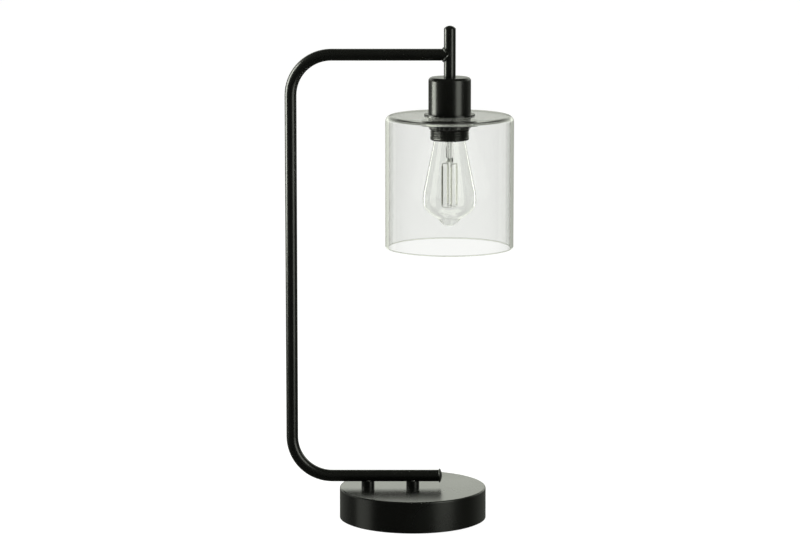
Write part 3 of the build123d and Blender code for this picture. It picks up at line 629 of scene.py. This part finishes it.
def link_wires():
    """Two bent wires under the filaments, each with a ferrule where it joins a filament's foot."""
    mesh = bmesh.new()
    for first, second in ((0, 1), (2, 3)):
        start = filament_places[first]
        along = (filament_places[second] - start).normalized()
        reach = (filament_places[second] - start).length
        across = along.cross(Vector((0, 0, 1)))
        top = filament_foot + FERRULE_OVERLAP
        ferrule = filament_foot - FERRULE_LENGTH
        low = filament_foot - LINK_DEPTH
        path = rounded(
            [
                (0, top, 0),
                (0, low, LINK_BEND),
                (reach, low, LINK_BEND),
                (reach, top, 0),
            ]
        )
        path[1:1] = [Vector((0, ferrule)), Vector((0, ferrule))]
        path[-1:-1] = [Vector((reach, ferrule)), Vector((reach, ferrule))]
        radii = [FERRULE_RADIUS] * 2 + [LINK_RADIUS] * (len(path) - 4) + [FERRULE_RADIUS] * 2
        rings = []
        for index, (point, radius) in enumerate(zip(path, radii)):
            after = path[min(index + TANGENT_REACH, len(path) - 1)]
            before = path[max(index - TANGENT_REACH, 0)]
            ahead = after - before
            outward = Vector((-ahead.y, ahead.x)).normalized()
            ring = []
            for turn in range(WIRE_SIDES):
                angle = 2 * math.pi * turn / WIRE_SIDES
                flat = point + radius * math.cos(angle) * outward
                spot = start + flat.x * along + radius * math.sin(angle) * across
                ring.append(mesh.verts.new((spot.x, spot.y, flat.y)))
            rings.append(ring)
        skin(mesh, rings, closed=False)
        for ring in (rings[0], rings[-1]):
            mesh.faces.new(ring)
    return to_object("bulb_filament_links", mesh)


drum = dress(glass_shade(), "shade", "shade_glass", "glass_shade")
envelope = dress(bulb_envelope(), "bulb", "bulb_glass", "bulb_envelope")
mount = dress(bulb_mount(), "bulb", "bulb_glass", "bulb_glass_mount")
holder = dress(lampholder_body(), "stand", "holder_plastic", "lampholder_body")
dress(bulb_cap(), "bulb", "bulb_cap_metal", "bulb_screw_cap")
dress(filaments(), "bulb", "filament_coating", "bulb_filaments")
dress(link_wires(), "bulb", "bulb_cap_metal", "bulb_link_wires")


# Stage
def light_group(name, pieces, state):
    """Group of pieces that a light leaves out or keeps to."""
    group = bpy.data.collections.new(name)
    for piece in pieces:
        group.objects.link(piece)
    for entry in group.collection_objects:
        entry.light_linking.link_state = state
    return group


def soft_light(name, place, aim, width, height, radiance, group=None):
    """Rectangular soft light that shines from a place towards an aim, on some pieces or on all."""
    data = bpy.data.lights.new(name, "AREA")
    data.shape = "RECTANGLE"
    data.size = width
    data.size_y = height
    data.energy = radiance * math.pi * width * height
    data.color = LIGHT_TINT
    light = bpy.data.objects.new(name, data)
    light.location = place
    light.rotation_euler = (Vector(aim) - Vector(place)).to_track_quat("-Z", "Y").to_euler()
    light.visible_camera = False
    light.light_linking.receiver_collection = group
    bpy.context.scene.collection.objects.link(light)
    return light


def upright_light(name, place, width, height, radiance, group):
    """Soft light that stands upright and faces the lamp."""
    return soft_light(name, place, (0.0, 0.0, place[2]), width, height, radiance, group)


def studio_world():
    """Dim room with a bright wall behind the lamp that fades out about 45 degrees up."""
    world = bpy.data.worlds.new("studio")
    world.use_nodes = True
    bpy.context.scene.world = world
    nodes = world.node_tree.nodes
    links = world.node_tree.links
    coordinates = nodes.new("ShaderNodeTexCoord")
    parts = nodes.new("ShaderNodeSeparateXYZ")
    links.new(coordinates.outputs["Generated"], parts.inputs["Vector"])

    def fade(part, span, low, high):
        ramp = nodes.new("ShaderNodeMapRange")
        ramp.interpolation_type = "SMOOTHSTEP"
        for name, value in zip(("From Min", "From Max", "To Min", "To Max"), (*span, low, high)):
            ramp.inputs[name].default_value = value
        links.new(parts.outputs[part], ramp.inputs["Value"])
        return ramp.outputs["Result"]

    def times(first, second):
        product = nodes.new("ShaderNodeMath")
        product.operation = "MULTIPLY"
        links.new(first, product.inputs[0])
        links.new(second, product.inputs[1])
        return product.outputs["Value"]

    wall = times(fade("Y", WALL_SIDES, 0.0, 1.0), fade("Z", WALL_RISE, WALL_FOOT, 1.0))
    glow = nodes.new("ShaderNodeMath")
    glow.operation = "MULTIPLY_ADD"
    glow.inputs[1].default_value = WALL_GLOW
    links.new(times(wall, fade("Z", WALL_END, 1.0, 0.0)), glow.inputs[0])
    links.new(fade("Z", ROOM_RISE, ROOM_LOW, ROOM_HIGH), glow.inputs[2])
    links.new(glow.outputs["Value"], nodes["Background"].inputs["Strength"])
    nodes["Background"].inputs["Color"].default_value = (*LIGHT_TINT, 1.0)


def glowing(piece):
    """Turn a piece into a pale part of the stage, lit through from behind, that leaves no reflection."""
    material = new_material("pale_" + piece.name, FLOOR_ROUGHNESS)
    vary_colour(material, noise(material, FLOOR_PATCHES), FLOOR_DARK, FLOOR_LIGHT)
    shader = shader_of(material)
    shader.inputs["Emission Color"].default_value = (1.0, 1.0, 1.0, 1.0)
    shader.inputs["Emission Strength"].default_value = FLOOR_GLOW
    piece.data.materials.append(material)
    piece.visible_glossy = False
    piece.visible_shadow = False


def floor():
    """Wide floor under the lamp."""
    mesh = bmesh.new()
    bmesh.ops.create_circle(mesh, cap_ends=True, segments=STAGE_SEGMENTS, radius=FLOOR_RADIUS)
    glowing(to_object("floor", mesh))


def backdrop():
    """Round wall at the floor's edge that only hides the horizon."""
    mesh = bmesh.new()
    radius = FLOOR_RADIUS - BACKDROP_INSET
    foot = bmesh.ops.create_circle(mesh, segments=STAGE_SEGMENTS, radius=radius)["verts"]
    edges = list({edge for corner in foot for edge in corner.link_edges})
    raised = bmesh.ops.extrude_edge_only(mesh, edges=edges)["geom"]
    top = [part for part in raised if isinstance(part, bmesh.types.BMVert)]
    bmesh.ops.translate(mesh, verts=top, vec=(0.0, 0.0, BACKDROP_HEIGHT))
    piece = to_object("backdrop", mesh)
    glowing(piece)
    piece.visible_diffuse = False
    piece.visible_transmission = False


def camera():
    """Camera at the photograph's viewing angle."""
    data = bpy.data.cameras.new("camera")
    data.lens = CAMERA_LENS
    data.sensor_width = CAMERA_SENSOR
    data.clip_end = CAMERA_REACH
    view = bpy.data.objects.new("camera", data)
    view.location = CAMERA_PLACE
    view.rotation_euler = (CAMERA_AIM - CAMERA_PLACE).to_track_quat("-Z", "Y").to_euler()
    bpy.context.scene.collection.objects.link(view)
    bpy.context.scene.camera = view


floor()
backdrop()
studio_world()
camera()
clear = (drum, envelope, mount)
for piece in clear:
    piece.visible_shadow = False
drum.visible_glossy = False
base = frame["nodes"]["base_shell"]
ring = frame["nodes"]["shade_ring"]
cup = frame["nodes"]["socket_cup"]
not_clear = light_group("clear_left_out", clear, "EXCLUDE")
by_strip = light_group("clear_base_and_cup_left_out", (*clear, base, cup), "EXCLUDE")
bulb_only = light_group("bulb_only", (envelope,), "INCLUDE")
drum_only = light_group("drum_only", (drum,), "INCLUDE")
holder_only = light_group("holder_only", (holder, ring), "INCLUDE")
base_only = light_group("base_only", (base,), "INCLUDE")
cup_only = light_group("cup_only", (cup,), "INCLUDE")
# Name, place, width, height, radiance and receivers of each upright light
upright_lights = (
    ("left_strip", (-1.6, 0.15, 0.9), 0.7, 1.7, 14.5, by_strip),
    ("right_box", (1.35, -1.15, 0.65), 0.9, 1.8, 3.0, not_clear),
    ("left_glint", (-1.57, -0.33, 0.3), 1.0, 1.6, 2.5, bulb_only),
    ("right_glint", (1.25, -1.25, 0.3), 1.3, 1.6, 3.5, bulb_only),
    ("left_edge", (-1.2, 1.6, 0.3), 0.5, 1.2, 4.0, bulb_only),
    ("right_edge", (1.2, 1.6, 0.3), 0.5, 1.2, 4.0, bulb_only),
    ("bulb_foot", (0.04, 1.6, -0.6), 3.0, 1.2, 1.2, bulb_only),
    ("drum_left_edge", (-1.58, 1.18, 0.1), 1.0, 1.4, 0.75, drum_only),
    ("drum_right_edge", (1.65, 1.18, 0.1), 1.0, 1.4, 0.42, drum_only),
    ("skirt_glint", (-1.52, -0.5, 1.2), 0.6, 1.2, 18.0, holder_only),
    ("base_glint", (-1.6, -0.2, -0.2), 0.8, 1.2, 0.8, base_only),
    ("base_back", (0.0, 1.6, 0.5), 2.4, 1.0, 0.45, base_only),
    ("cup_glint", (-1.6, 0.15, -0.41), 0.7, 1.7, 14.5, cup_only),
)
for settings in upright_lights:
    upright_light(*settings)
top_box = soft_light("top_box", (0.0, 0.3, 2.4), (0.0, 0.0, 0.0), width=2.0, height=2.0, radiance=3.0)
top_box.visible_glossy = False
bpy.context.scene.view_settings.view_transform = "Standard"
